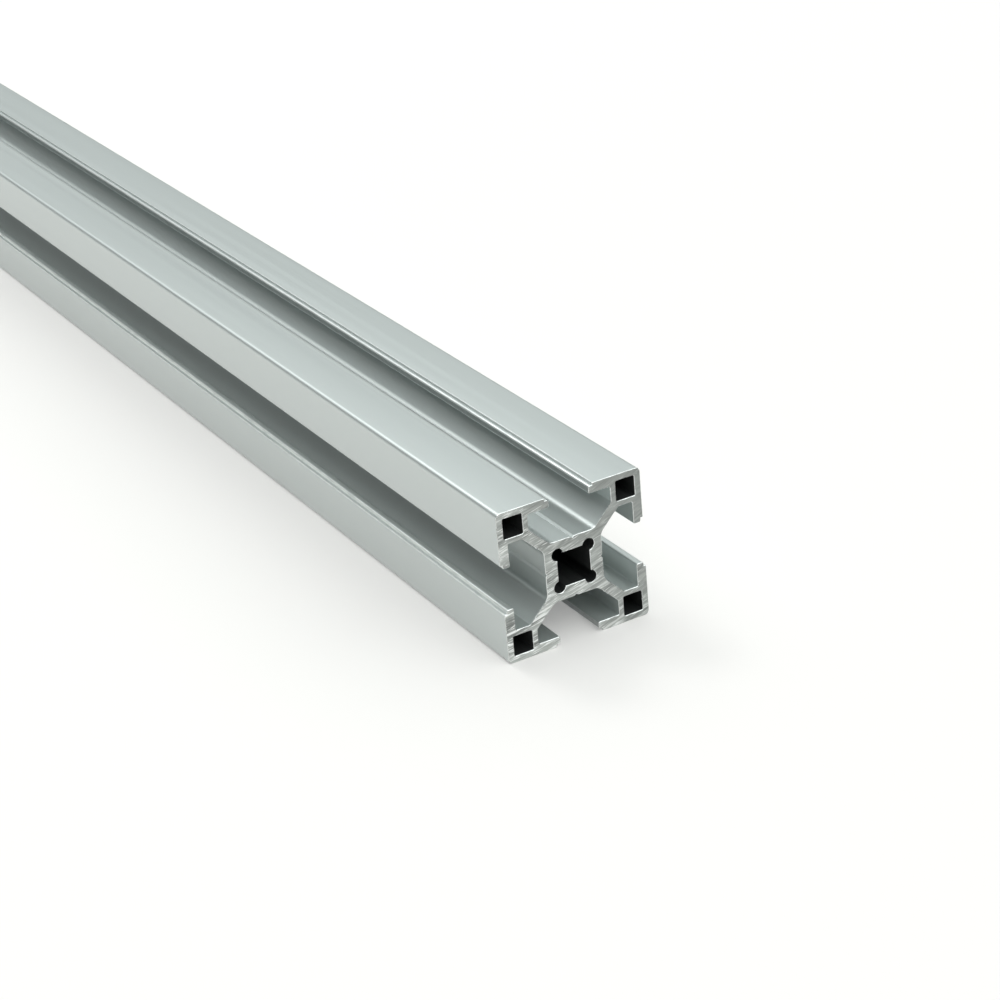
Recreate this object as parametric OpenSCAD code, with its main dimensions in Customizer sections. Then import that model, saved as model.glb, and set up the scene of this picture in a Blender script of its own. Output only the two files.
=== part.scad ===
// Aluminium extrusion profile: a square T-slot bar, sawn to length, lying along X.
// The origin is at the middle of the underside. All sizes are in millimetres.

/* [Bar] */
// Length of the sawn piece
bar_length = 400; // [50:1:3000]
// Width and height of the square section
profile_size = 30; // [25:0.1:45]
// Radius of the four long outer corners
corner_radius = 1; // [0.4:0.1:2]

/* [Slots] */
// Width of each slot where it opens in its face
slot_opening = 8.2; // [6:0.1:10]
// Width of each slot behind its lips
undercut_width = 17.2; // [14:0.1:19.5]
// Thickness of the lips that narrow each slot
lip_thickness = 2; // [1.5:0.1:3.2]
// Radius of the lips' outer edges, beside the opening
lip_edge_radius = 0.4; // [0.1:0.05:0.5]
// Radius of the lips' inner edges, beside the opening
lip_inner_radius = 0.3; // [0.1:0.05:0.5]
// Width of the rebate along each lip's outer edge
rebate_width = 0.8; // [0.6:0.1:1.6]
// Depth of the rebate below the face
rebate_depth = 0.5; // [0.2:0.05:0.8]
// Radius of the face's edge beside the rebate
rebate_edge_radius = 0.15; // [0.05:0.05:0.2]
// Width of the scribed centre line in each slot floor
scribe_width = 0.8; // [0.4:0.1:1.4]
// Depth of the scribed centre line
scribe_depth = 0.3; // [0.1:0.05:0.5]

/* [Webs and walls] */
// Thickness of the diagonal webs between the core and the corner boxes
web_thickness = 2; // [1.2:0.1:3]
// Wall between a corner box's cavity and the outside faces
outer_wall = 1.3; // [0.8:0.1:2]
// Wall between a corner box's cavity and the slots
inner_wall = 1.1; // [0.8:0.1:2]

/* [Core] */
// Width of the square core, whose sides are the slots' floors
core_size = 12; // [10:0.1:16]
// Width of the square hole along the core
core_hole = 6.8; // [5:0.1:8.5]
// Diameter of the round lobe at each corner of the core hole
lobe_diameter = 2.4; // [1.2:0.1:3]
// How far the lobes' centres lie inside the sides of the hole
lobe_inset = 0.15; // [0:0.05:0.5]

/* [Fillets] */
// Radius between a slot's floor and the webs
floor_fillet = 2; // [0.5:0.1:3]
// Radius of the corners behind the lips
undercut_fillet = 0.3; // [0.1:0.1:0.8]
// Radius of the cavities' corners
cavity_fillet = 0.3; // [0.1:0.1:1]

/* [Hidden] */
$fn = 48;

half = profile_size / 2;
half_opening = slot_opening / 2;
half_undercut = undercut_width / 2;
half_core = core_size / 2;
lip_back = half - lip_thickness;
rebate_floor = half - rebate_depth;
rebate_side = half_opening + rebate_width;

// The webs run along the section's diagonals, so their flanks lie at 45 degrees, this far off the diagonal
// when measured along either axis.
flank_offset = web_thickness / sqrt(2);
flank_top = half_undercut + flank_offset;
half_floor = half_core - flank_offset;

cavity_size = half - half_undercut - outer_wall - inner_wall;
cavity_centre = half - outer_wall - cavity_size / 2;

// A hollow corner's arc is cut this much deeper, so that it crosses its walls and doesn't just touch them.
arc_overcut = 0.001;

// Half of the right-hand slot, from its mid-line out to the rebate in its lip. A corner is [x, y, radius].
half_slot = [
    [half_core - scribe_depth, 0, 0],
    [half_core, scribe_width / 2, 0],
    [half_core, half_floor, floor_fillet],
    [flank_top, half_undercut, undercut_fillet],
    [lip_back, half_undercut, undercut_fillet],
    [lip_back, half_opening, lip_inner_radius],
    [rebate_floor, half_opening, lip_edge_radius],
    [rebate_floor, rebate_side, 0],
    [half, rebate_side, rebate_edge_radius],
];

// A quarter of the outline, counter-clockwise: half a slot, the outer corner and half of the next slot.
quarter = concat(
    half_slot,
    [[half, half, corner_radius]],
    [for (i = [len(half_slot) - 1:-1:1]) [half_slot[i].y, half_slot[i].x, half_slot[i].z]]
);

function quarter_turn(corner) = [-corner.y, corner.x, corner.z];
function turned(corners, turns) =
    turns == 0 ? corners : turned([for (corner = corners) quarter_turn(corner)], turns - 1);

// Corners of a square about the origin, counter-clockwise
function square_corners(size, radius) =
    [for (side = [[1, -1], [1, 1], [-1, 1], [-1, -1]]) [side.x * size / 2, side.y * size / 2, radius]];

function place(corner) = [corner.x, corner.y];
function heading(from, to) = (to - from) / norm(to - from);
function half_angle(back, ahead) = acos(back * ahead) / 2;

// Where a corner's arc begins and ends, or the corner itself where it is sharp
function arc_ends(at, back, ahead, radius) =
    let (setback = radius / tan(half_angle(back, ahead)))
    radius == 0 ? [at] : [at + back * setback, at + ahead * setback];
function arc_centre(at, back, ahead, radius) =
    at + heading([0, 0], back + ahead) * radius / sin(half_angle(back, ahead));
function turns_left(back, ahead) = cross(ahead, back) > 0;

// Closed outline with true arcs at its corners: a polygon between the arcs, with the outward corners' discs
// added and the inward corners' discs cut away
module rounded_outline(corners) {
    count = len(corners);
    points = [for (corner = corners) place(corner)];
    back = [for (i = [0:count - 1]) heading(points[i], points[(i + count - 1) % count])];
    ahead = [for (i = [0:count - 1]) heading(points[i], points[(i + 1) % count])];
    module arcs(left, overcut) {
        for (i = [0:count - 1])
            if (corners[i].z > 0 && turns_left(back[i], ahead[i]) == left)
                translate(arc_centre(points[i], back[i], ahead[i], corners[i].z))
                    circle(r = corners[i].z + overcut);
    }
    difference() {
        union() {
            polygon([for (i = [0:count - 1]) each arc_ends(points[i], back[i], ahead[i], corners[i].z)]);
            arcs(true, 0);
        }
        arcs(false, arc_overcut);
    }
}

// Square hole along the core, with a round lobe at each corner
module core_opening() {
    square(core_hole, center = true);
    for (corner = square_corners(core_hole - 2 * lobe_inset, 0))
        translate(place(corner))
            circle(d = lobe_diameter);
}

// Hollow in each of the four corner boxes
module corner_cavities() {
    for (corner = square_corners(2 * cavity_centre, 0))
        translate(place(corner))
            rounded_outline(square_corners(cavity_size, cavity_fillet));
}

module bar_section() {
    difference() {
        rounded_outline([for (turns = [0:3]) each turned(quarter, turns)]);
        corner_cavities();
        core_opening();
    }
}

module profile_bar() {
    color("#C3C7C7")
        translate([-bar_length / 2, 0, half])
            rotate([90, 0, 90])
                linear_extrude(height = bar_length)
                    bar_section();
}

profile_bar();
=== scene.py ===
"""Dresses the aluminium bar: satin anodised faces, sawn ends with burrs, and a white studio."""

import math

import bmesh
import bpy
from mathutils import Matrix, Vector


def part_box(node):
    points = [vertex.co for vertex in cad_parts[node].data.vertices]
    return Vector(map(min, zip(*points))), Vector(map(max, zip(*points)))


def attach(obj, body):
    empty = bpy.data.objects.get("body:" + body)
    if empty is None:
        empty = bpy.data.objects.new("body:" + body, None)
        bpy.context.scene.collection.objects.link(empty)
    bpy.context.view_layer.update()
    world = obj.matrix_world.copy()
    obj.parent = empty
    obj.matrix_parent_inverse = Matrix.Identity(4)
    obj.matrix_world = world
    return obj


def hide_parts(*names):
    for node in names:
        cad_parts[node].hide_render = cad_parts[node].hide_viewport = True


bl_info = {
    "name": "Aluminium extrusion profile",
    "version": (1, 0, 0),
    "blender": (4, 5, 0),
    "location": "View3D > Sidebar > Profile bar",
    "description": "Builds a slotted bar with sawn ends, its finishes and a white studio",
    "category": "Object",
}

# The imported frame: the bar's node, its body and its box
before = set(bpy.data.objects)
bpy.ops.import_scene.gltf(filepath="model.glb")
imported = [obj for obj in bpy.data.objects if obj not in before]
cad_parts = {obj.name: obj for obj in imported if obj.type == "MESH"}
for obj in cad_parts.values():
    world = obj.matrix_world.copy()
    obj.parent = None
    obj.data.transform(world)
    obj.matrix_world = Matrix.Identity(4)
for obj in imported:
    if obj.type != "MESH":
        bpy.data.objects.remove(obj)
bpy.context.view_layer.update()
NODE = "profile_bar"
BODY = "root"
bar_low, bar_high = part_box(NODE)
MM = 0.001


def length(name, description, default):
    """A size in metres that the sidebar shows as a length."""
    return bpy.props.FloatProperty(
        name=name, description=description, default=default, precision=5, subtype="DISTANCE", unit="LENGTH"
    )


def number(name, description, default):
    """A plain number, such as a roughness or a strength."""
    return bpy.props.FloatProperty(name=name, description=description, default=default)


def angle(name, description, degrees):
    """An angle, given in degrees."""
    return bpy.props.FloatProperty(
        name=name, description=description, default=math.radians(degrees), subtype="ANGLE", unit="ROTATION"
    )


def color(name, description, default):
    """A linear RGB colour."""
    return bpy.props.FloatVectorProperty(
        name=name, description=description, default=default, size=3, min=0.0, max=1.0, subtype="COLOR"
    )


def place(name, description, default):
    """A place or an offset in metres."""
    return bpy.props.FloatVectorProperty(
        name=name, description=description, default=default, size=3, subtype="XYZ", unit="LENGTH"
    )


class ProfileSection(bpy.types.PropertyGroup):
    """Sizes of the bar and of its extruded section."""

    bar_length: length("Length", "Length of the sawn piece", bar_high.x - bar_low.x)
    size: length("Size", "Width and height of the square section", bar_high.y - bar_low.y)
    corner_radius: length("Corner radius", "Radius of the four long outer corners", 1.0 * MM)
    slot_opening: length("Slot opening", "Width of each slot where it opens in its face", 8.2 * MM)
    undercut_width: length("Undercut", "Width of each slot behind its lips", 17.2 * MM)
    lip_thickness: length("Lip", "Thickness of the lips that narrow each slot", 2.0 * MM)
    lip_edge_radius: length("Lip edge", "Radius of the lips' outer edges, beside the opening", 0.4 * MM)
    lip_inner_radius: length(
        "Lip inner edge", "Radius of the lips' inner edges, beside the opening", 0.3 * MM
    )
    rebate_width: length("Rebate width", "Width of the rebate along each lip's outer edge", 0.8 * MM)
    rebate_depth: length("Rebate depth", "Depth of the rebate below the face", 0.5 * MM)
    rebate_edge_radius: length("Rebate edge", "Radius of the face's edge beside the rebate", 0.15 * MM)
    scribe_width: length("Scribe width", "Width of the scribed line in each slot floor", 0.8 * MM)
    scribe_depth: length("Scribe depth", "Depth of the scribed line", 0.3 * MM)
    web_thickness: length("Web", "Thickness of the diagonal webs", 2.0 * MM)
    outer_wall: length("Outer wall", "Wall between a corner cavity and the outside", 1.3 * MM)
    inner_wall: length("Inner wall", "Wall between a corner cavity and the slots", 1.1 * MM)
    core_size: length("Core", "Width of the square core", 12.0 * MM)
    core_hole: length("Core hole", "Width of the square hole along the core", 6.8 * MM)
    lobe_diameter: length("Lobe", "Diameter of the lobe at each corner of the core hole", 2.4 * MM)
    lobe_inset: length("Lobe inset", "How far the lobes' centres lie inside the hole", 0.15 * MM)
    floor_fillet: length("Floor fillet", "Radius between a slot's floor and the webs", 2.0 * MM)
    undercut_fillet: length("Undercut fillet", "Radius of the corners behind the lips", 0.3 * MM)
    cavity_fillet: length("Cavity fillet", "Radius of the cavities' corners", 0.3 * MM)
    arc_step: angle("Arc step", "Largest turn between two points of a rounded corner", 9.0)


class SawnEnds(bpy.types.PropertyGroup):
    """How the saw left the two ends."""

    blade_radius: length("Blade radius", "Radius of the circular saw's blade", 125.0 * MM)
    mark_tilt: angle("Mark tilt", "Slope of the saw marks at the middle of the end", 16.0)
    cut_step: length("Cut step", "Distance between the lines that the end face is cut into", 0.12 * MM)
    mark_depth: length("Mark depth", "Depth of the deepest saw marks", 0.035 * MM)
    mark_width: length("Mark width", "Width of a saw mark, across the blade's path", 0.45 * MM)
    mark_length: length("Mark length", "Length of a saw mark, along the blade's path", 9.0 * MM)
    deburr: length("Deburring", "Width of the narrow chamfer round each end", 0.1 * MM)
    raggedness: length("Raggedness", "How far the end's edges wander", 0.16 * MM)
    burr_spacing: length("Burr spacing", "Distance between burrs along an edge", 0.32 * MM)
    burr_length: length("Burr length", "Length of the longest burrs", 0.3 * MM)
    burr_width: length("Burr width", "Width of a burr", 0.13 * MM)
    seed: bpy.props.IntProperty(name="Seed", description="Seed of the burrs' sizes", default=7)


class Finish(bpy.types.PropertyGroup):
    """Colours and gloss of the bar."""

    anodised_color: color("Anodised", "Colour of the anodised faces", (0.60, 0.64, 0.63))
    anodised_roughness: number("Anodised roughness", "Roughness of the anodised faces", 0.38)
    anodised_metal: number(
        "Anodised metal", "Share of metallic gloss; the rest is the oxide's matt sheen", 0.75
    )
    # Painted shade: the lips' noses in the top and bottom slots are darkened in their colour, standing in
    # for the slots' shade
    mouth_shade_color: color(
        "Slot mouths", "Colour of the lips' noses in the top and bottom slots, darkened as painted shade", (0.32, 0.34, 0.335)
    )
    sawn_color: color("Sawn", "Colour of the sawn ends between the scratches", (0.38, 0.40, 0.387))
    sawn_roughness: number("Sawn roughness", "Roughness of the sawn ends", 0.40)
    bright_color: color("Bright", "Colour of fresh scratches and burrs", (0.92, 0.94, 0.93))
    bright_roughness: number("Bright roughness", "Roughness of the fresh metal", 0.28)
    edge_color: color("Deburred", "Colour of the narrow chamfers round the ends", (0.66, 0.68, 0.67))
    # Painted shade: the holes' walls are darkened in their colour, standing in for the shade deep inside
    # them
    bore_shade_color: color("Bore", "Colour inside the holes, darkened as painted shade", (0.12, 0.125, 0.125))
    bore_roughness: number("Bore roughness", "Roughness of the dull metal inside the holes", 0.55)


class Studio(bpy.types.PropertyGroup):
    """Camera, light and floor."""

    camera_from_end: place(
        "Camera",
        "Camera's place, from the middle of the right end's lower edge",
        (0.33896, -0.19350, 0.21962),
    )
    azimuth: angle("Azimuth", "How far the camera is turned from +Y towards -X", 62.06)
    elevation: angle("Elevation", "How far the camera looks down", 25.99)
    roll: angle("Roll", "Turn of the camera about its own axis", -5.44)
    lens: number("Lens", "Focal length in millimetres", 88.72)
    sensor: number("Sensor", "Width of the camera's sensor in millimetres", 36.0)
    floor_size: length("Floor", "Width of the floor", 30.0)
    floor_color: color("Floor colour", "Colour of the floor", (0.64, 0.62, 0.605))
    floor_lift: number("Floor lift", "Light that the camera and gloss see on the floor, up to white", 0.23)
    sky_color: color("Sky colour", "Colour of the light from all round", (0.955, 1.0, 0.99))
    sky_strength: number("Sky strength", "Strength of the light from all round", 0.95)
    fill_ratio: number("Fill ratio", "How much stronger the light is that falls on the right end", 2.0)
    key_place: place(
        "Key place", "Middle of the soft lamp beyond the bar's far end", (-1.635, -0.355, 2.294)
    )
    key_size: length("Key size", "Width of the soft lamp", 0.8)
    key_power: number("Key power", "Power of the soft lamp, in watts", 13.0)


SETTINGS = {
    "profile_section": ProfileSection,
    "profile_saw": SawnEnds,
    "profile_finish": Finish,
    "profile_studio": Studio,
}


# Section outline

def rounded_loop(corners, arc_step):
    """Points of a closed loop through corners (y, z, radius), with an arc where there is a radius."""
    points = []
    for index, (y, z, radius) in enumerate(corners):
        at = Vector((y, z))
        if radius == 0:
            points.append(at)
            continue
        back = (Vector(corners[index - 1][:2]) - at).normalized()
        ahead = (Vector(corners[(index + 1) % len(corners)][:2]) - at).normalized()
        half_angle = back.angle(ahead) / 2
        centre = at + (back + ahead).normalized() * (radius / math.sin(half_angle))
        start = at + back * (radius / math.tan(half_angle)) - centre
        turn = (math.pi - 2 * half_angle) * math.copysign(1, ahead.cross(back))
        steps = max(2, math.ceil(abs(turn) / arc_step))
        for step in range(steps + 1):
            points.append(centre + Matrix.Rotation(turn * step / steps, 2) @ start)
    return points


def quarter_turns(corners, turns):
    """The corners (y, z, radius), turned about the section's middle."""
    for _ in range(turns):
        corners = [(-z, y, radius) for y, z, radius in corners]
    return corners


def square(size, radius):
    """The corners of a square, counter-clockwise."""
    corner = (size / 2, size / 2, radius)
    return [turned for turns in range(4) for turned in quarter_turns([corner], turns)]


def outline_corners(sizes):
    """Corners of the whole outline, counter-clockwise: half a slot, mirrored and turned."""
    half = sizes.size / 2
    half_core = sizes.core_size / 2
    half_undercut = sizes.undercut_width / 2
    half_opening = sizes.slot_opening / 2
    lip_back = half - sizes.lip_thickness
    rebate_floor = half - sizes.rebate_depth
    rebate_side = half_opening + sizes.rebate_width
    flank = sizes.web_thickness / math.sqrt(2)
    half_slot = [
        (half_core - sizes.scribe_depth, 0, 0),
        (half_core, sizes.scribe_width / 2, 0),
        (half_core, half_core - flank, sizes.floor_fillet),
        (half_undercut + flank, half_undercut, sizes.undercut_fillet),
        (lip_back, half_undercut, sizes.undercut_fillet),
        (lip_back, half_opening, sizes.lip_inner_radius),
        (rebate_floor, half_opening, sizes.lip_edge_radius),
        (rebate_floor, rebate_side, 0),
        (half, rebate_side, sizes.rebate_edge_radius),
    ]
    mirrored = [(z, y, radius) for y, z, radius in reversed(half_slot[1:])]
    quarter = half_slot + [(half, half, sizes.corner_radius)] + mirrored
    return [corner for turns in range(4) for corner in quarter_turns(quarter, turns)]


def core_hole_loop(sizes):
    """Points of the square core hole with a round lobe at each corner, counter-clockwise."""
    middle = sizes.core_hole / 2 - sizes.lobe_inset
    radius = sizes.lobe_diameter / 2
    reach = math.asin(sizes.lobe_inset / radius)
    start, end = reach - math.pi / 2, math.pi - reach
    steps = math.ceil((end - start) / sizes.arc_step)
    lobe = []
    for step in range(steps + 1):
        turn = start + (end - start) * step / steps
        lobe.append(Vector((middle + radius * math.cos(turn), middle + radius * math.sin(turn))))
    return [Matrix.Rotation(turns * math.pi / 2, 2) @ point for turns in range(4) for point in lobe]


def section_loops(sizes):
    """The outline, the core hole and the four cavities, each as points about the section's middle."""
    cavity = (sizes.size - sizes.undercut_width) / 2 - sizes.outer_wall - sizes.inner_wall
    offset = sizes.size / 2 - sizes.outer_wall - cavity / 2
    loops = [rounded_loop(outline_corners(sizes), sizes.arc_step), core_hole_loop(sizes)]
    for y, z, _ in square(2 * offset, 0):
        hole = rounded_loop(square(cavity, sizes.cavity_fillet), sizes.arc_step)
        loops.append([point + Vector((y, z)) for point in hole])
    return loops


# End faces, cut into strips along the saw blade's path

# The longest piece of an end face's rim
EDGE_STEP = 0.3 * MM
# A corner this near to a cut counts as on it, so that no slivers are left
ON_CUT = 0.004 * MM


def blade_centre(saw):
    """The blade's centre, from the section's middle, where its path crosses at the tilt."""
    return Vector((-math.sin(saw.mark_tilt), math.cos(saw.mark_tilt))) * saw.blade_radius


def inset_loop(points, distance, is_hole):
    """The loop moved into the metal by a distance."""
    moved = []
    for index, point in enumerate(points):
        before = (point - points[index - 1]).normalized()
        after = (points[(index + 1) % len(points)] - point).normalized()
        inward = Vector((-before.y - after.y, before.x + after.x)).normalized()
        reach = distance / inward.dot(Vector((-after.y, after.x)))
        moved.append(point - inward * reach if is_hole else point + inward * reach)
    return moved


def split_points(start, end):
    """The points from start up to, but not including, end, no further apart than the edge step."""
    pieces = max(1, math.ceil((end - start).length / EDGE_STEP))
    return [start.lerp(end, piece / pieces) for piece in range(pieces)]


def cut_along_blade(bm, centre, step):
    """Cuts a flat face in XY into strips that follow the blade's arcs.

    The face is unrolled about the blade's centre, cut into straight strips and rolled up again.
    """
    radius = centre.length
    towards = math.atan2(-centre.y, -centre.x)
    for vert in bm.verts:
        arm = vert.co.xy - centre
        vert.co = (arm.length - radius, (math.atan2(arm.y, arm.x) - towards) * radius, 0)
    low = min(vert.co.x for vert in bm.verts)
    high = max(vert.co.x for vert in bm.verts)
    for cut in range(1, math.ceil((high - low) / step)):
        bmesh.ops.bisect_plane(
            bm,
            geom=bm.verts[:] + bm.edges[:] + bm.faces[:],
            dist=ON_CUT,
            plane_co=(low + cut * step, 0, 0),
            plane_no=(1, 0, 0),
        )
    for vert in bm.verts:
        swing = vert.co.y / radius + towards
        reach = vert.co.x + radius
        vert.co = (centre.x + reach * math.cos(swing), centre.y + reach * math.sin(swing), 0)


def end_face(loops, saw):
    """One end face as a mesh in XY, and for each loop the vertices at its points."""
    bm = bmesh.new()
    loop_verts = []
    for points in loops:
        corners = []
        verts = []
        for index, start in enumerate(points):
            end = points[(index + 1) % len(points)]
            made = [bm.verts.new(point.to_3d()) for point in split_points(start, end)]
            corners.append(made[0])
            verts += made
        for index, vert in enumerate(verts):
            bm.edges.new((vert, verts[(index + 1) % len(verts)]))
        loop_verts.append(corners)
    bmesh.ops.triangle_fill(bm, use_beauty=True, edges=bm.edges[:])
    cut_along_blade(bm, blade_centre(saw), saw.cut_step)
    bmesh.ops.triangulate(bm, faces=bm.faces[:])
    return bm, loop_verts


def rim_between(start, end):
    """The vertices along a face's rim from start to end, both among them."""
    ahead = (end.co - start.co).normalized()
    rim = [start]
    while rim[-1] is not end:
        steps = [edge.other_vert(rim[-1]) for edge in rim[-1].link_edges if edge.is_boundary]
        steps = [vert for vert in steps if (vert.co - rim[-1].co).dot(ahead) > 0]
        rim.append(max(steps, key=lambda vert: (vert.co - rim[-1].co).normalized().dot(ahead)))
    return rim


# Bar mesh

ANODISED, SAWN, DEBURRED, BORE = range(4)
# Marks the lips' and rebates' edges for wear and a painted highlight
WEAR_AND_HIGHLIGHT_ATTRIBUTE = "worn_edge_and_highlight"
# Marks the lips' noses in the top and bottom slots for painted shade
MOUTH_SHADE_ATTRIBUTE = "painted_mouth_shade"
END_ATTRIBUTE = "sawn_end"
BURR_ATTRIBUTE = "burr_edge"
SMOOTH_ANGLE = math.radians(30)
# Places closer than this are the same
NEAR = 0.001 * MM
# The rubbing, partly wear and partly a painted highlight, stops this far before the end of a lip's rounded
# edge
UNRUBBED = 0.1 * MM
# How squarely a tooth has to leave over an edge for burrs to stay there
BURR_CROSSING = 0.25


def lip_highlight_and_shade(point, sizes):
    """Whether a point gets the lips' wear with a painted highlight, and whether the painted shade of a
    nose in the top or bottom slots.
    """
    depth = sizes.size / 2 - max(abs(point.x), abs(point.y))
    from_mouth = min(abs(point.x), abs(point.y)) - sizes.slot_opening / 2
    edge_end = sizes.rebate_depth + sizes.lip_edge_radius
    rebate_end = sizes.rebate_width + sizes.rebate_edge_radius
    on_lip_edge = depth < edge_end - UNRUBBED and from_mouth < sizes.lip_edge_radius + NEAR
    on_rebate_edge = NEAR < depth < sizes.rebate_edge_radius + NEAR and from_mouth < rebate_end
    is_top_or_bottom = abs(point.y) > abs(point.x)
    on_nose = edge_end - NEAR < depth < sizes.lip_thickness and from_mouth < NEAR
    return float(on_lip_edge or on_rebate_edge), float(is_top_or_bottom and on_nose)


def is_burr_edge(start, end, is_hole, centre, sizes):
    """Whether the saw's teeth leave the metal over this piece of rim, inside a slot or a hole."""
    middle = (start + end) / 2
    along = (end - start).normalized()
    outward = Vector((-along.y, along.x)) if is_hole else Vector((along.y, -along.x))
    arm = (middle - centre).normalized()
    tooth_path = Vector((arm.y, -arm.x))
    lip_nose = sizes.size / 2 - sizes.rebate_depth - sizes.lip_edge_radius
    is_inside = max(abs(middle.x), abs(middle.y)) < lip_nose
    return is_inside and outward.dot(tooth_path) > BURR_CROSSING


def build_bar(sizes, saw):
    """The bar as one closed mesh: long walls, a narrow chamfer at each end, and end faces in strips."""
    loops = section_loops(sizes)
    insets = [inset_loop(loop, saw.deburr, loop is not loops[0]) for loop in loops]
    face, face_corners = end_face(insets, saw)
    face.verts.index_update()
    axis_height = sizes.size / 2
    bm = bmesh.new()
    end_layer = bm.verts.layers.float.new(END_ATTRIBUTE)
    wear_and_highlight_layer = bm.verts.layers.float.new(WEAR_AND_HIGHLIGHT_ATTRIBUTE)
    mouth_shade_layer = bm.verts.layers.float.new(MOUTH_SHADE_ATTRIBUTE)
    burr_layer = bm.edges.layers.bool.new(BURR_ATTRIBUTE)
    walls = {}
    for side in (1, -1):
        end_x = side * sizes.bar_length / 2
        end_verts = []
        for vert in face.verts:
            copy = bm.verts.new((end_x, vert.co.x, vert.co.y + axis_height))
            copy[end_layer] = side
            end_verts.append(copy)
        for flat in face.faces:
            bm.faces.new([end_verts[vert.index] for vert in flat.verts]).material_index = SAWN
        rim_x = end_x - side * saw.deburr
        walls[side] = []
        for number_of_loop, (points, corners) in enumerate(zip(loops, face_corners)):
            ring = [bm.verts.new((rim_x, point.x, point.y + axis_height)) for point in points]
            for vert, point in zip(ring, points):
                vert[wear_and_highlight_layer], vert[mouth_shade_layer] = lip_highlight_and_shade(point, sizes)
            walls[side].append(ring)
            for index, corner in enumerate(corners):
                following = (index + 1) % len(corners)
                rim = rim_between(corner, corners[following])
                copies = [end_verts[vert.index] for vert in rim]
                bm.faces.new([ring[following], ring[index]] + copies).material_index = DEBURRED
                for start, end in zip(rim, rim[1:]):
                    edge = bm.edges.get((end_verts[start.index], end_verts[end.index]))
                    edge[burr_layer] = is_burr_edge(
                        start.co.xy, end.co.xy, number_of_loop > 0, blade_centre(saw), sizes
                    )
    for number_of_loop, (right, left) in enumerate(zip(walls[1], walls[-1])):
        for index, vert in enumerate(right):
            following = (index + 1) % len(right)
            wall = bm.faces.new((vert, right[following], left[following], left[index]))
            wall.material_index = BORE if number_of_loop > 0 else ANODISED
    face.free()
    bmesh.ops.recalc_face_normals(bm, faces=bm.faces[:])
    bmesh.ops.triangulate(bm, faces=[flat for flat in bm.faces if len(flat.verts) > 4])
    mesh = bpy.data.meshes.new("sawn_profile_bar")
    bm.to_mesh(mesh)
    bm.free()
    mesh.shade_smooth()
    mesh.set_sharp_from_angle(angle=SMOOTH_ANGLE)
    return mesh


# Node trees

def socket_named(sockets, key):
    """The socket in use with that name, or at that place in the list."""
    if isinstance(key, int):
        return sockets[key]
    return next(socket for socket in sockets if socket.enabled and socket.name == key)


def add(tree, kind, inputs=None, **settings):
    """Adds a node. Each input is a value, or a node or socket to link from."""
    node = tree.nodes.new(kind)
    for name, value in settings.items():
        setattr(node, name, value)
    for key, value in (inputs or {}).items():
        target = socket_named(node.inputs, key)
        if isinstance(value, bpy.types.Node):
            value = next(socket for socket in value.outputs if socket.enabled)
        if isinstance(value, bpy.types.NodeSocket):
            tree.links.new(value, target)
        else:
            target.default_value = value
    return node


def math_node(tree, operation, first, second=0.0):
    """Adds a sum on one or two numbers."""
    return add(tree, "ShaderNodeMath", {0: first, 1: second}, operation=operation)


def vector_node(tree, operation, first, second=(0.0, 0.0, 0.0)):
    """Adds a sum on one or two vectors."""
    return add(tree, "ShaderNodeVectorMath", {0: first, 1: second}, operation=operation)


def add_inputs(tree, sockets):
    """Gives a node group its named inputs, each with a socket type."""
    for name, kind in sockets.items():
        tree.interface.new_socket(name=name, in_out="INPUT", socket_type=kind)


def blade_path(tree, position, centre):
    """The arm from the blade's centre to a place on the end face, its length and its angle."""
    flat = vector_node(tree, "MULTIPLY", position, (0.0, 1.0, 1.0))
    arm = vector_node(tree, "SUBTRACT", flat, centre)
    reach = vector_node(tree, "LENGTH", arm).outputs["Value"]
    parts = add(tree, "ShaderNodeSeparateXYZ", {"Vector": arm})
    drop = math_node(tree, "MULTIPLY", parts.outputs["Z"], -1.0)
    swing = math_node(tree, "ARCTAN2", parts.outputs["Y"], drop)
    return arm, reach, swing


SAW_TREE = "Sawn ends"
# How far apart the two ends lie in the noise, and the noise at a mark's rim and at its bottom
END_LAYER = 31.0
MARK_RIM, MARK_BOTTOM = 0.3, 0.7
# Turns to a metre of the noise that makes the ends' edges wander
RAGGED_SCALE = 2400.0
# How far a burr sits behind the end, in widths of a burr, and its largest lean in radians
BURR_SEAT = 0.75
BURR_LEAN = 0.3
# A burr's share of the longest length is a random number from the least share to 1, raised to a power
BURR_LEAST = 0.15
BURR_POWER = 3.0


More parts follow.
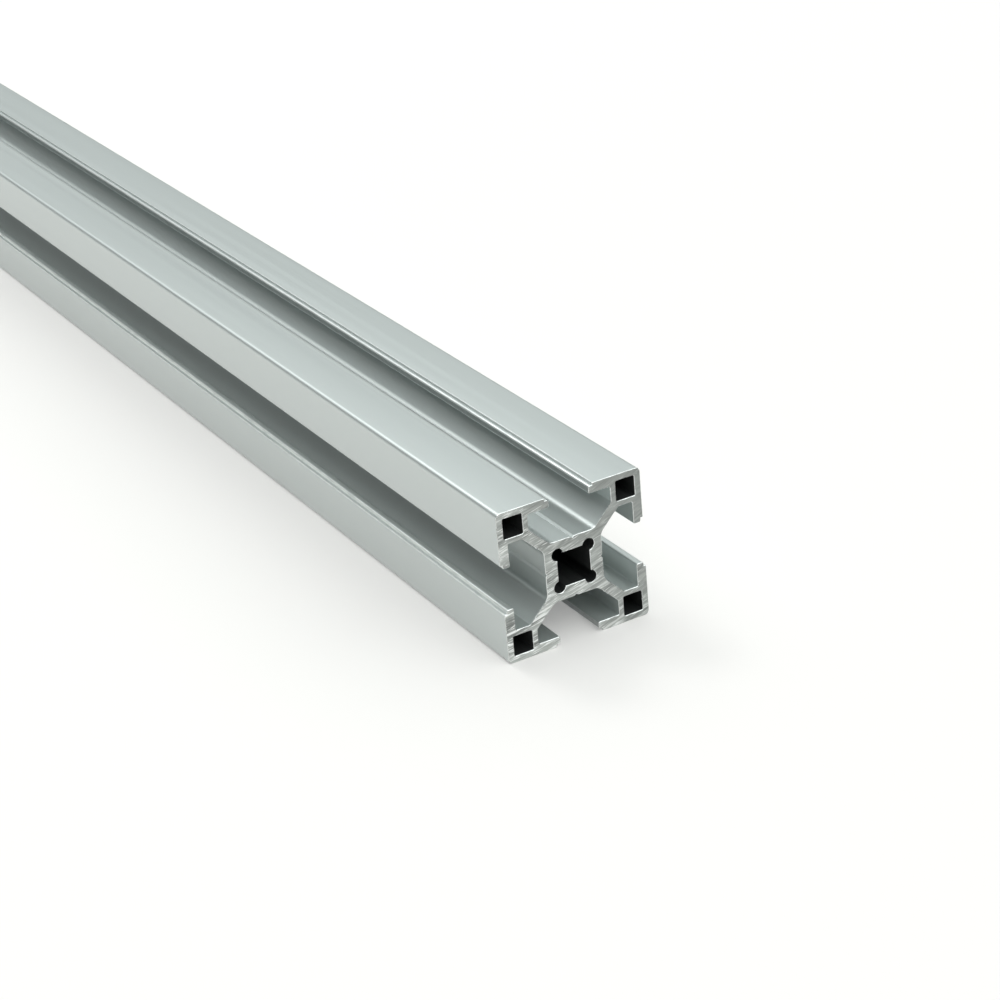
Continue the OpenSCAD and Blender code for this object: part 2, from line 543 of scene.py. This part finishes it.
def sawn_ends_tree():
    """Geometry nodes that press saw marks into the end faces and set burrs along the flagged edges."""
    tree = bpy.data.node_groups.new(SAW_TREE, "GeometryNodeTree")
    tree.interface.new_socket(name="Geometry", in_out="OUTPUT", socket_type="NodeSocketGeometry")
    add_inputs(
        tree,
        {
            "Geometry": "NodeSocketGeometry",
            "Blade Centre": "NodeSocketVector",
            "Blade Radius": "NodeSocketFloat",
            "Mark Depth": "NodeSocketFloat",
            "Mark Width": "NodeSocketFloat",
            "Mark Length": "NodeSocketFloat",
            "Edge Raggedness": "NodeSocketFloat",
            "Burr Spacing": "NodeSocketFloat",
            "Burr Length": "NodeSocketFloat",
            "Burr Width": "NodeSocketFloat",
            "Seed": "NodeSocketInt",
            "Burr Metal": "NodeSocketMaterial",
        },
    )
    given = tree.nodes.new("NodeGroupInput").outputs
    side = add(tree, "GeometryNodeInputNamedAttribute", {"Name": END_ATTRIBUTE}, data_type="FLOAT")
    position = tree.nodes.new("GeometryNodeInputPosition")
    arm, reach, swing = blade_path(tree, position, given["Blade Centre"])

    # Saw marks: noise drawn out along the blade's path, with its crests at the end's true plane
    across = math_node(tree, "DIVIDE", reach, given["Mark Width"])
    path = math_node(tree, "MULTIPLY", swing, given["Blade Radius"])
    along = math_node(tree, "DIVIDE", path, given["Mark Length"])
    layer = math_node(tree, "MULTIPLY", side, END_LAYER)
    place_on_path = add(tree, "ShaderNodeCombineXYZ", {"X": across, "Y": along, "Z": layer})
    noise = add(tree, "ShaderNodeTexNoise", {"Vector": place_on_path, "Scale": 1.0, "Detail": 2.0})
    valley = add(
        tree,
        "ShaderNodeMapRange",
        {"Value": noise.outputs["Fac"], "From Min": MARK_RIM, "From Max": MARK_BOTTOM},
    )
    depth = math_node(tree, "MULTIPLY", valley, given["Mark Depth"])
    jitter_place = vector_node(tree, "SCALE", position)
    socket_named(jitter_place.inputs, "Scale").default_value = RAGGED_SCALE
    jitter = add(tree, "ShaderNodeTexNoise", {"Vector": jitter_place, "Scale": 1.0, "Detail": 1.0})
    jitter_centred = vector_node(tree, "SUBTRACT", jitter.outputs["Color"], (0.5, 0.5, 0.5))
    ragged = vector_node(tree, "SCALE", jitter_centred)
    tree.links.new(given["Edge Raggedness"], socket_named(ragged.inputs, "Scale"))
    ragged_parts = add(tree, "ShaderNodeSeparateXYZ", {"Vector": ragged}).outputs
    inward = math_node(tree, "MULTIPLY", depth, math_node(tree, "MULTIPLY", side, -1.0))
    is_end = math_node(tree, "GREATER_THAN", math_node(tree, "ABSOLUTE", side), 0.5)
    sawn = add(
        tree,
        "GeometryNodeSetPosition",
        {
            "Geometry": given["Geometry"],
            "Selection": is_end,
            "Offset": add(
                tree, "ShaderNodeCombineXYZ", {"X": inward, "Y": ragged_parts["Y"], "Z": ragged_parts["Z"]}
            ),
        },
    )

    # Burrs: slivers that the teeth dragged over the edges where they left the metal
    flagged = add(tree, "GeometryNodeInputNamedAttribute", {"Name": BURR_ATTRIBUTE}, data_type="BOOLEAN")
    edges = add(tree, "GeometryNodeMeshToCurve", {"Mesh": given["Geometry"], "Selection": flagged})
    points = add(
        tree, "GeometryNodeCurveToPoints", {"Curve": edges, "Length": given["Burr Spacing"]}, mode="LENGTH"
    )
    seat = math_node(tree, "MULTIPLY", given["Burr Width"], -BURR_SEAT)
    behind = math_node(tree, "MULTIPLY", seat, side)
    seated = add(
        tree,
        "GeometryNodeSetPosition",
        {"Geometry": points, "Offset": add(tree, "ShaderNodeCombineXYZ", {"X": behind})},
    )
    tooth_path = vector_node(tree, "CROSS_PRODUCT", arm, (1.0, 0.0, 0.0))
    upright = add(tree, "FunctionNodeAlignRotationToVector", {"Vector": tooth_path}, axis="Z")
    lean = add(
        tree,
        "FunctionNodeRandomValue",
        {"Min": (-BURR_LEAN,) * 3, "Max": (BURR_LEAN,) * 3, "Seed": given["Seed"]},
        data_type="FLOAT_VECTOR",
    )
    turned = add(
        tree,
        "FunctionNodeRotateRotation",
        {"Rotation": upright, "Rotate By": lean},
        rotation_space="LOCAL",
    )
    share = add(
        tree,
        "FunctionNodeRandomValue",
        {"Min": BURR_LEAST, "Max": 1.0, "Seed": given["Seed"]},
        data_type="FLOAT",
    )
    share = math_node(tree, "POWER", share, BURR_POWER)
    burr_length = math_node(tree, "MULTIPLY", share, given["Burr Length"])
    burr_size = add(
        tree,
        "ShaderNodeCombineXYZ",
        {"X": given["Burr Width"], "Y": given["Burr Width"], "Z": burr_length},
    )
    # One unit wide and long, so that a burr's size is its scale
    sliver = add(
        tree,
        "GeometryNodeMeshCone",
        {"Vertices": 4, "Radius Top": 0.0, "Radius Bottom": 0.5, "Depth": 1.0},
    )
    burrs = add(
        tree,
        "GeometryNodeInstanceOnPoints",
        {"Points": seated, "Instance": sliver, "Rotation": turned, "Scale": burr_size},
    )
    real = add(tree, "GeometryNodeRealizeInstances", {"Geometry": burrs})
    metal = add(tree, "GeometryNodeSetMaterial", {"Geometry": real, "Material": given["Burr Metal"]})
    joined = tree.nodes.new("GeometryNodeJoinGeometry")
    tree.links.new(metal.outputs[0], joined.inputs[0])
    tree.links.new(sawn.outputs[0], joined.inputs[0])
    output = tree.nodes.new("NodeGroupOutput")
    tree.links.new(joined.outputs[0], output.inputs["Geometry"])
    return tree


def apply_tree(obj, tree, values):
    """Runs a node tree on an object with these inputs, and keeps the result as its plain mesh."""
    modifier = obj.modifiers.new(tree.name, "NODES")
    modifier.node_group = tree
    for item in tree.interface.items_tree:
        if item.in_out == "INPUT" and item.name in values:
            modifier[item.identifier] = values[item.name]
    plain = bpy.data.meshes.new_from_object(obj.evaluated_get(bpy.context.evaluated_depsgraph_get()))
    obj.modifiers.clear()
    obj.data = plain


# Materials

# Streaks: the broad ones' scale beside the fine ones', and the noise where a scratch starts and is full
BROAD_SCALE = (0.23, 0.23, 0.23)
SCRATCH_START, SCRATCH_FULL = 0.58, 0.66
# Drawn lines: turns of their noise to a metre, along the bar and across it, and their contrast
DRAWN_SCALE = (9.0, 2600.0, 2600.0)
DRAWN_CONTRAST = 1.2
# Turns to a metre of the drawn metal's even grain
GRAIN_SCALE = 7000.0
# How far the drawn metal's roughness and each finish's tone drift to either side
GLOSS_DRIFT = 0.04
ANODISED_DRIFT = 0.012
BURR_DRIFT = 0.12
EDGE_DRIFT = 0.2
BORE_DRIFT = 0.2
# Rubbed patches, partly wear and partly a painted highlight: turns of their noise to a metre, the noise
# where they start and are full, and the share of bright metal outside and inside them
RUBBED_SCALE = (320.0, 2600.0, 2600.0)
RUBBED_START, RUBBED_FULL = 0.30, 0.55
RUBBED_LEAST, RUBBED_MOST = 0.1, 0.7
# Saw scratches: turns of their noise to a metre, across the blade's path, along it and from one end to
# the other, and their contrast
SAWN_SCALE = (3600.0, 330.0, 100.0)
SAWN_CONTRAST = 2.2
# Gouges: their scale beside the scratches', and the noise where they start and are full
GOUGE_SCALE = (0.42, 0.5, 1.0)
GOUGE_START, GOUGE_FULL = 0.53, 0.62
# The blade went in at the lower front edge. Along this direction, in half widths of the section, its
# cut is faintest at the first place and strongest at the second.
ENTRY_DIRECTION = (0.0, -1.0, -1.0)
ENTRY_FAINT, ENTRY_STRONG = -2.33, 0.33
# Amounts at those two places: fine scratches, gouges, unevenness of tone, and paleness, which is painted
# light
FINE_CUT = (0.1, 1.3)
DEEP_CUT = (-0.5, 1.1)
UNEVENNESS = (0.2, 0.8)
PAINTED_PALENESS = (0.2, 0.7)
# The darkest and the palest tint between the scratches
SAWN_TINTS = (0.6, 1.5)
# Strength and height of the relief
DRAWN_RELIEF = (0.25, 0.00003)
SAWN_RELIEF = (0.5, 0.00004)
FLOOR_ROUGHNESS = 0.9


def new_material(name, roughness, metal_color, metallic=1.0):
    """A metal, with its node tree, its Principled shader and its Object coordinates."""
    material = bpy.data.materials.new(name)
    material.use_nodes = True
    material.diffuse_color = (*metal_color, 1.0)
    tree = material.node_tree
    shader = tree.nodes["Principled BSDF"]
    shader.inputs["Metallic"].default_value = metallic
    shader.inputs["Roughness"].default_value = roughness
    coordinates = tree.nodes.new("ShaderNodeTexCoord").outputs["Object"]
    return material, tree, shader, coordinates


def streak_group():
    """Fine streaks from noise on a stretched place.

    It puts out a height for bump, a shade that is 0.5 on average, and a mask of the strongest scratches.
    """
    tree = bpy.data.node_groups.new("Metal streaks", "ShaderNodeTree")
    add_inputs(tree, {"Vector": "NodeSocketVector", "Contrast": "NodeSocketFloat"})
    tree.interface.new_socket(name="Shade", in_out="OUTPUT", socket_type="NodeSocketFloat")
    tree.interface.new_socket(name="Height", in_out="OUTPUT", socket_type="NodeSocketFloat")
    tree.interface.new_socket(name="Scratch", in_out="OUTPUT", socket_type="NodeSocketFloat")
    given = tree.nodes.new("NodeGroupInput").outputs
    fine = add(tree, "ShaderNodeTexNoise", {"Vector": given["Vector"], "Scale": 1.0, "Detail": 3.0})
    broad_place = vector_node(tree, "MULTIPLY", given["Vector"], BROAD_SCALE)
    broad = add(tree, "ShaderNodeTexNoise", {"Vector": broad_place, "Scale": 1.0, "Detail": 2.0})
    mixed = math_node(tree, "ADD", fine.outputs["Fac"], broad.outputs["Fac"])
    spread = math_node(tree, "SUBTRACT", mixed, 1.0)
    scaled = math_node(tree, "MULTIPLY", spread, given["Contrast"])
    shade = add(tree, "ShaderNodeMath", {0: scaled, 1: 0.5}, operation="ADD", use_clamp=True)
    output = tree.nodes.new("NodeGroupOutput")
    tree.links.new(shade.outputs[0], output.inputs["Shade"])
    tree.links.new(fine.outputs["Fac"], output.inputs["Height"])
    scratch = add(
        tree,
        "ShaderNodeMapRange",
        {"Value": fine.outputs["Fac"], "From Min": SCRATCH_START, "From Max": SCRATCH_FULL},
    )
    tree.links.new(scratch.outputs[0], output.inputs["Scratch"])
    return tree


def add_streaks(tree, streaks, stretched, contrast):
    """Adds the streaks to a material, on a stretched place."""
    return add(tree, "ShaderNodeGroup", {"Vector": stretched, "Contrast": contrast}, node_tree=streaks)


def shade_between(tree, shade, low, high):
    """A number that goes from low to high as the shade goes from 0 to 1."""
    return add(tree, "ShaderNodeMapRange", {"Value": shade, "To Min": low, "To Max": high})


def tinted(metal_color, amount):
    """The colour made lighter or darker."""
    return tuple(min(1.0, channel * amount) for channel in metal_color)


def color_between(tree, shade, first, second):
    """A colour from the first, which may be a socket, to the second as the shade goes from 0 to 1."""
    if not isinstance(first, bpy.types.NodeSocket):
        first = (*first, 1.0)
    mix = add(tree, "ShaderNodeMix", {"Factor": shade, "A": first, "B": (*second, 1.0)}, data_type="RGBA")
    return socket_named(mix.outputs, "Result")


def add_relief(tree, shader, height, relief):
    """Gives a shader its fine relief from a height."""
    strength, distance = relief
    bump = add(tree, "ShaderNodeBump", {"Height": height, "Strength": strength, "Distance": distance})
    tree.links.new(bump.outputs["Normal"], shader.inputs["Normal"])


def drawn_material(name, streaks, metal_color, roughness, drift, metallic=1.0):
    """Metal drawn through a die: fine lines along the bar, an even grain, and a faint drift of tone."""
    material, tree, shader, coordinates = new_material(name, roughness, metal_color, metallic)
    drawn_out = add(tree, "ShaderNodeMapping", {"Vector": coordinates, "Scale": DRAWN_SCALE})
    lines = add_streaks(tree, streaks, drawn_out, DRAWN_CONTRAST)
    shade = lines.outputs["Shade"]
    tone = color_between(tree, shade, tinted(metal_color, 1.0 - drift), tinted(metal_color, 1.0 + drift))
    tree.links.new(tone, shader.inputs["Base Color"])
    gloss = shade_between(tree, shade, roughness - GLOSS_DRIFT, roughness + GLOSS_DRIFT)
    tree.links.new(gloss.outputs[0], shader.inputs["Roughness"])
    grain = add(tree, "ShaderNodeTexNoise", {"Vector": coordinates, "Scale": GRAIN_SCALE, "Detail": 2.0})
    height = math_node(tree, "ADD", lines.outputs["Height"], grain.outputs["Fac"])
    add_relief(tree, shader, height, DRAWN_RELIEF)
    return material


def anodised_material(finish, streaks):
    """The satin anodised skin, with wear and a painted highlight along lips and rebates, and painted shade
    on the noses in the top and bottom slots.
    """
    material = drawn_material(
        "Satin anodised aluminium",
        streaks,
        finish.anodised_color,
        finish.anodised_roughness,
        ANODISED_DRIFT,
        finish.anodised_metal,
    )
    tree = material.node_tree
    shader = tree.nodes["Principled BSDF"]
    coordinates = tree.nodes.new("ShaderNodeTexCoord").outputs["Object"]
    along = add(tree, "ShaderNodeMapping", {"Vector": coordinates, "Scale": RUBBED_SCALE})
    patches = add(tree, "ShaderNodeTexNoise", {"Vector": along, "Scale": 1.0, "Detail": 3.0})
    rubbed_and_highlit = add(
        tree,
        "ShaderNodeMapRange",
        {
            "Value": patches.outputs["Fac"],
            "From Min": RUBBED_START,
            "From Max": RUBBED_FULL,
            "To Min": RUBBED_LEAST,
            "To Max": RUBBED_MOST,
        },
    )
    # Wear and painted highlight: bright metal along the lips' and rebates' edges
    edge = add(tree, "ShaderNodeAttribute", attribute_name=WEAR_AND_HIGHLIGHT_ATTRIBUTE).outputs["Fac"]
    wear_and_highlight = math_node(tree, "MULTIPLY", edge, rubbed_and_highlit).outputs[0]
    skin_tone = shader.inputs["Base Color"].links[0].from_socket
    tone = color_between(tree, wear_and_highlight, skin_tone, finish.bright_color)
    # Painted shade: the noses in the top and bottom slots take the darker colour
    mouth = add(tree, "ShaderNodeAttribute", attribute_name=MOUTH_SHADE_ATTRIBUTE).outputs["Fac"]
    tone = color_between(tree, mouth, tone, finish.mouth_shade_color)
    tree.links.new(tone, shader.inputs["Base Color"])
    skin_gloss = shader.inputs["Roughness"].links[0].from_socket
    gloss = shade_between(tree, wear_and_highlight, skin_gloss, finish.bright_roughness)
    tree.links.new(gloss.outputs[0], shader.inputs["Roughness"])
    shine = shade_between(tree, wear_and_highlight, finish.anodised_metal, 1.0)
    tree.links.new(shine.outputs[0], shader.inputs["Metallic"])
    return material


def sawn_material(finish, streaks, saw, axis_height):
    """Bare sawn metal: scratches along the blade's path, deepest where the blade went in, and painted
    light that makes that side paler.
    """
    material, tree, shader, coordinates = new_material(
        "Sawn aluminium", finish.sawn_roughness, finish.sawn_color
    )
    centre = blade_centre(saw)
    _, reach, swing = blade_path(tree, coordinates, (0.0, centre.x, centre.y + axis_height))
    across, along, between = SAWN_SCALE
    parts = add(tree, "ShaderNodeSeparateXYZ", {"Vector": coordinates})
    on_path = add(
        tree,
        "ShaderNodeCombineXYZ",
        {
            "X": math_node(tree, "MULTIPLY", reach, across),
            "Y": math_node(tree, "MULTIPLY", swing, saw.blade_radius * along),
            "Z": math_node(tree, "MULTIPLY", parts.outputs["X"], between),
        },
    )
    scratches = add_streaks(tree, streaks, on_path, SAWN_CONTRAST)
    broad_path = vector_node(tree, "MULTIPLY", on_path, GOUGE_SCALE)
    gouges = add_streaks(tree, streaks, broad_path, SAWN_CONTRAST)
    gouge = add(
        tree,
        "ShaderNodeMapRange",
        {"Value": gouges.outputs["Height"], "From Min": GOUGE_START, "From Max": GOUGE_FULL},
    )
    entry = add(
        tree,
        "ShaderNodeMapRange",
        {
            "Value": vector_node(tree, "DOT_PRODUCT", coordinates, ENTRY_DIRECTION).outputs["Value"],
            "From Min": ENTRY_FAINT * axis_height,
            "From Max": ENTRY_STRONG * axis_height,
        },
    )
    fine_amount = shade_between(tree, entry, *FINE_CUT)
    fine_cut = math_node(tree, "MULTIPLY", scratches.outputs["Scratch"], fine_amount)
    deep_cut = math_node(tree, "MULTIPLY", gouge, shade_between(tree, entry, *DEEP_CUT))
    scratch = add(tree, "ShaderNodeMath", {0: fine_cut, 1: deep_cut}, operation="MAXIMUM", use_clamp=True)
    uneven = math_node(tree, "ADD", scratches.outputs["Shade"], gouges.outputs["Shade"])
    uneven = math_node(tree, "SUBTRACT", uneven, 1.0)
    uneven = math_node(tree, "MULTIPLY", uneven, shade_between(tree, entry, *UNEVENNESS))
    # Painted light: the end is paler towards its lower front edge
    painted_pallor = shade_between(tree, entry, *PAINTED_PALENESS)
    shade = add(tree, "ShaderNodeMath", {0: uneven, 1: painted_pallor}, operation="ADD", use_clamp=True)
    darkest, palest = [tinted(finish.sawn_color, tint) for tint in SAWN_TINTS]
    dull = color_between(tree, shade, darkest, palest)
    tone = color_between(tree, scratch, dull, finish.bright_color)
    tree.links.new(tone, shader.inputs["Base Color"])
    gloss = shade_between(tree, scratch, finish.sawn_roughness, finish.bright_roughness)
    tree.links.new(gloss.outputs[0], shader.inputs["Roughness"])
    add_relief(tree, shader, scratches.outputs["Height"], SAWN_RELIEF)
    return material


def white_where_seen(tree, lift):
    """A strength that only the camera, gloss and glass see."""
    path = tree.nodes.new("ShaderNodeLightPath").outputs
    seen = math_node(tree, "MAXIMUM", path["Is Camera Ray"], path["Is Glossy Ray"])
    seen = math_node(tree, "MAXIMUM", seen, path["Is Transmission Ray"])
    return math_node(tree, "MULTIPLY", seen, lift)


def floor_material(studio):
    """A floor that keeps the bar's shadow, and is white where the camera or gloss sees it lit."""
    material = bpy.data.materials.new("Studio floor")
    material.use_nodes = True
    tree = material.node_tree
    shader = tree.nodes["Principled BSDF"]
    shader.inputs["Base Color"].default_value = (*studio.floor_color, 1.0)
    shader.inputs["Roughness"].default_value = FLOOR_ROUGHNESS
    shader.inputs["Specular IOR Level"].default_value = 0.0
    shader.inputs["Emission Color"].default_value = (1.0, 1.0, 1.0, 1.0)
    lift = white_where_seen(tree, studio.floor_lift)
    tree.links.new(lift.outputs[0], shader.inputs["Emission Strength"])
    return material


# Light and camera

# Light by height, where 0 is the horizon and 1 is straight above
SKY_BEHIND = (
    (0.0, 0.22),
    (0.20, 0.20),
    (0.34, 0.12),
    (0.44, 0.62),
    (0.51, 1.32),
    (0.60, 1.46),
    (1.0, 1.38),
)
SKY_IN_FRONT = ((0.0, 1.0), (0.07, 1.0), (0.22, 0.12), (1.0, 0.12))
# The plane between the light behind and the light in front leans back as it rises
FRONT_SLOPE = (0.0, 1.0, 0.55)
FRONT_START, FRONT_FULL = 0.02, -0.30
# How far towards +X the stronger light on the right end starts and is full
FILL_START, FILL_FULL = 0.25, 0.70
# The nearest that the camera sees, in metres
CLIP_START = 0.01


def sky_ramp(tree, height, stops):
    """The light's strength at a height, along the stops."""
    ramp = add(tree, "ShaderNodeValToRGB", {"Fac": height})
    elements = ramp.color_ramp.elements
    for position, _ in stops[1:-1]:
        elements.new(position)
    for element, (position, light) in zip(elements, stops):
        element.position = position
        element.color = (light, light, light, 1.0)
    return ramp.outputs["Color"]


def light_room(tree, studio):
    """Light from all round: bright above and behind the bar, dim in front apart from a low band."""
    sky = tree.nodes["Background"]
    sky.inputs["Color"].default_value = (*studio.sky_color, 1.0)
    coordinates = tree.nodes.new("ShaderNodeTexCoord").outputs["Generated"]
    direction = add(tree, "ShaderNodeSeparateXYZ", {"Vector": coordinates}).outputs
    front = add(
        tree,
        "ShaderNodeMapRange",
        {
            "Value": vector_node(tree, "DOT_PRODUCT", coordinates, FRONT_SLOPE).outputs["Value"],
            "From Min": FRONT_START,
            "From Max": FRONT_FULL,
            "To Min": sky_ramp(tree, direction["Z"], SKY_BEHIND),
            "To Max": sky_ramp(tree, direction["Z"], SKY_IN_FRONT),
        },
        interpolation_type="SMOOTHSTEP",
    )
    fill = add(
        tree,
        "ShaderNodeMapRange",
        {
            "Value": direction["X"],
            "From Min": FILL_START,
            "From Max": FILL_FULL,
            "To Min": studio.sky_strength,
            "To Max": studio.sky_strength * studio.fill_ratio,
        },
        interpolation_type="SMOOTHSTEP",
    )
    light = math_node(tree, "MULTIPLY", front, fill)
    tree.links.new(light.outputs[0], sky.inputs["Strength"])


# Operators

class PROFILE_OT_sawn_bar(bpy.types.Operator):
    """Builds the bar with its sawn ends, and dresses it in place of the plain solid"""

    bl_idname = "profile.sawn_bar"
    bl_label = "Sawn bar"

    def execute(self, context):
        scene = context.scene
        sizes, saw, finish = scene.profile_section, scene.profile_saw, scene.profile_finish
        axis_height = sizes.size / 2
        streaks = streak_group()
        bright_metal = drawn_material(
            "Burr", streaks, finish.bright_color, finish.bright_roughness, BURR_DRIFT
        )
        mesh = build_bar(sizes, saw)
        for material in (
            anodised_material(finish, streaks),
            sawn_material(finish, streaks, saw, axis_height),
            drawn_material(
                "Deburred edge", streaks, finish.edge_color, finish.bright_roughness, EDGE_DRIFT
            ),
            # Painted shade inside the holes
            drawn_material("Bore with painted shade", streaks, finish.bore_shade_color, finish.bore_roughness, BORE_DRIFT),
        ):
            mesh.materials.append(material)
        bar = bpy.data.objects.new("sawn_profile_bar", mesh)
        scene.collection.objects.link(bar)
        centre = blade_centre(saw)
        apply_tree(
            bar,
            sawn_ends_tree(),
            {
                "Blade Centre": (0.0, centre.x, centre.y + axis_height),
                "Blade Radius": saw.blade_radius,
                "Mark Depth": saw.mark_depth,
                "Mark Width": saw.mark_width,
                "Mark Length": saw.mark_length,
                "Edge Raggedness": saw.raggedness,
                "Burr Spacing": saw.burr_spacing,
                "Burr Length": saw.burr_length,
                "Burr Width": saw.burr_width,
                "Seed": saw.seed,
                "Burr Metal": bright_metal,
            },
        )
        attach(bar, BODY)
        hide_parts(NODE)
        return {"FINISHED"}


class PROFILE_OT_studio(bpy.types.Operator):
    """Sets up the floor, the soft light and the camera"""

    bl_idname = "profile.studio"
    bl_label = "White studio"

    def execute(self, context):
        scene = context.scene
        studio = scene.profile_studio
        scene.view_settings.view_transform = "Standard"

        mesh = bpy.data.meshes.new("studio_floor")
        bm = bmesh.new()
        bmesh.ops.create_grid(bm, x_segments=1, y_segments=1, size=studio.floor_size / 2)
        bm.to_mesh(mesh)
        bm.free()
        mesh.materials.append(floor_material(studio))
        floor = bpy.data.objects.new("studio_floor", mesh)
        scene.collection.objects.link(floor)

        world = bpy.data.worlds.new("Studio light")
        world.use_nodes = True
        scene.world = world
        light_room(world.node_tree, studio)

        lamp = bpy.data.lights.new("Key light", "AREA")
        lamp.shape = "DISK"
        lamp.size = studio.key_size
        lamp.energy = studio.key_power
        key = bpy.data.objects.new("Key light", lamp)
        key.location = studio.key_place
        key.visible_camera = False
        right_end = Vector((bar_high.x, (bar_low.y + bar_high.y) / 2, bar_low.z))
        key.rotation_euler = (right_end - key.location).to_track_quat("-Z", "Y").to_euler()
        scene.collection.objects.link(key)

        camera = bpy.data.cameras.new("Camera")
        camera.sensor_width = studio.sensor
        camera.lens = studio.lens
        camera.clip_start = CLIP_START
        eye = bpy.data.objects.new("Camera", camera)
        eye.matrix_world = (
            Matrix.Translation(right_end + Vector(studio.camera_from_end))
            @ Matrix.Rotation(studio.azimuth, 4, "Z")
            @ Matrix.Rotation(math.pi / 2 - studio.elevation, 4, "X")
            @ Matrix.Rotation(studio.roll, 4, "Z")
        )
        scene.collection.objects.link(eye)
        scene.camera = eye
        return {"FINISHED"}


class PROFILE_PT_sidebar(bpy.types.Panel):
    """Lists the sizes, the finishes and the operators"""

    bl_idname = "PROFILE_PT_sidebar"
    bl_label = "Profile bar"
    bl_space_type = "VIEW_3D"
    bl_region_type = "UI"
    bl_category = "Profile bar"

    def draw(self, context):
        layout = self.layout
        for name, group in SETTINGS.items():
            box = layout.box()
            for setting in group.__annotations__:
                box.prop(getattr(context.scene, name), setting)
        for operator in (PROFILE_OT_sawn_bar, PROFILE_OT_studio):
            layout.operator(operator.bl_idname)


CLASSES = (*SETTINGS.values(), PROFILE_OT_sawn_bar, PROFILE_OT_studio, PROFILE_PT_sidebar)


def register():
    """Makes the settings, the operators and the panel known."""
    for cls in CLASSES:
        bpy.utils.register_class(cls)
    for name, group in SETTINGS.items():
        setattr(bpy.types.Scene, name, bpy.props.PointerProperty(type=group))


def unregister():
    """Takes them away again."""
    for name in SETTINGS:
        delattr(bpy.types.Scene, name)
    for cls in reversed(CLASSES):
        bpy.utils.unregister_class(cls)


def main():
    """Builds the bar and its studio."""
    register()
    bpy.ops.profile.sawn_bar()
    bpy.ops.profile.studio()


if __name__ == "__main__":
    main()
